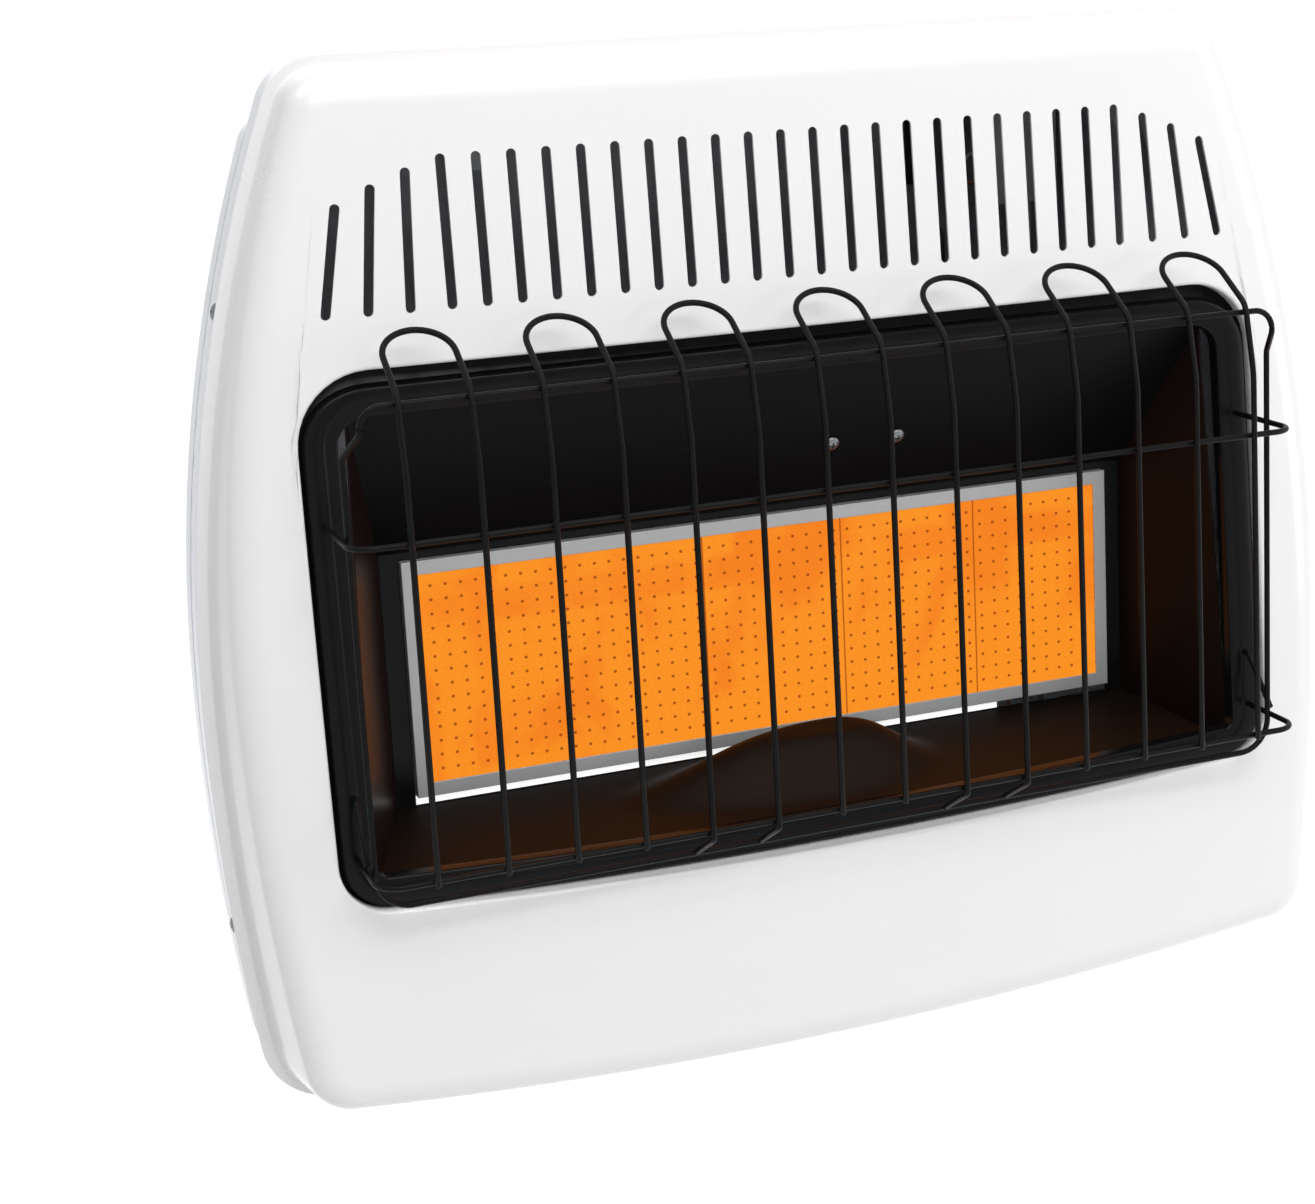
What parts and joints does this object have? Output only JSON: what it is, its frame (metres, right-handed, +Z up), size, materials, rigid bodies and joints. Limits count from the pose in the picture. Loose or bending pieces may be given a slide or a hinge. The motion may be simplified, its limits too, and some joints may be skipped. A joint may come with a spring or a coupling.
{
  "type": "wall mounted gas heater",
  "caption": "Wall-hung infrared gas heater: bowed pressed-steel front with vent slots, window with wire guard over glowing ceramic plaques, control knob and igniter button on top.",
  "frame": {"origin": "centre of the wall bracket, on its back face and so on the wall plane", "axes": "+X to the viewer's right, -Y out from the wall into the room, +Z up"},
  "size_m": [0.724, 0.2921, 0.6223],
  "materials": {
    "white_enamel": "gloss powder coat",
    "black_gloss": "high gloss",
    "black_wire": "satin",
    "galvanised": "zinc plated",
    "aluminised": "aluminised sheet",
    "cast_aluminium": "die cast",
    "ceramic": "matt, glowing",
    "porcelain": "glazed",
    "wool": "matt fibre",
    "brass": "machined",
    "copper": "drawn tube",
    "black_plastic": "moulded",
    "red_plastic": "moulded"
  },
  "bodies": {
    "heater": {"rear_case": "white_enamel", "front_panel": "white_enamel", "window_bezel": "black_gloss", "upper_reflector": "black_gloss", "left_reflector": "black_gloss", "right_reflector": "black_gloss", "bottom_tray": "black_gloss", "burner_surround": "black_gloss", "guard_perimeter": "black_wire", "guard_staple_middle": "black_wire", "guard_staple_lower": "black_wire", "guard_hairpin_1": "black_wire", "guard_hairpin_2": "black_wire", "guard_hairpin_3": "black_wire", "guard_hairpin_4": "black_wire", "guard_hairpin_5": "black_wire", "guard_hairpin_6": "black_wire", "guard_hairpin_7": "black_wire", "guard_stay_left": "black_wire", "guard_stay_right": "black_wire", "wall_bracket": "galvanised", "burner_bracket_left": "galvanised", "burner_bracket_right": "galvanised", "supply_pipe": "galvanised", "pilot_bracket": "galvanised", "bulb_clip": "galvanised", "thermocouple_probe": "galvanised", "side_screw_1": "galvanised", "side_screw_2": "galvanised", "side_screw_3": "galvanised", "side_screw_4": "galvanised", "hood_screw_1": "galvanised", "hood_screw_2": "galvanised", "burner_frame": "aluminised", "burner_plenum": "aluminised", "lower_deflector": "aluminised", "venturi_tube": "aluminised", "gas_valve": "cast_aluminium", "gas_regulator": "cast_aluminium", "pilot_tube": "cast_aluminium", "dial_plate": "cast_aluminium", "ceramic_plaque_1": "ceramic", "ceramic_plaque_2": "ceramic", "ceramic_plaque_3": "ceramic", "ceramic_plaque_4": "ceramic", "ceramic_plaque_5": "ceramic", "igniter_electrode": "porcelain", "plaque_gasket": "wool", "gas_orifice": "brass", "inlet_fitting": "brass", "pilot_burner": "brass", "manifold_pipe": "copper", "thermocouple_lead": "copper", "thermostat_bulb": "copper", "capillary_tube": "copper", "piezo_igniter": "black_plastic", "igniter_wire": "black_plastic"},
    "valve_collar": {"valve_collar": "brass"},
    "control_knob": {"control_knob": "black_plastic"},
    "igniter_button": {"igniter_button": "red_plastic"}
  },
  "joints": [
    {"name": "knob_turn", "type": "hinge", "parent": "heater", "child": "valve_collar", "pos_m": [0.215, -0.06, 0.058], "axis": [0, 0, 1], "range_deg": [0, 240]},
    {"name": "knob_push", "type": "slide", "parent": "valve_collar", "child": "control_knob", "axis": [0, 0, -1], "range_m": [0, 0.005], "stiffness_N_per_m": 800, "springref_m": -0.001},
    {"name": "igniter_push", "type": "slide", "parent": "heater", "child": "igniter_button", "axis": [0, 0, -1], "range_m": [0, 0.008], "stiffness_N_per_m": 600, "springref_m": -0.002}
  ]
}
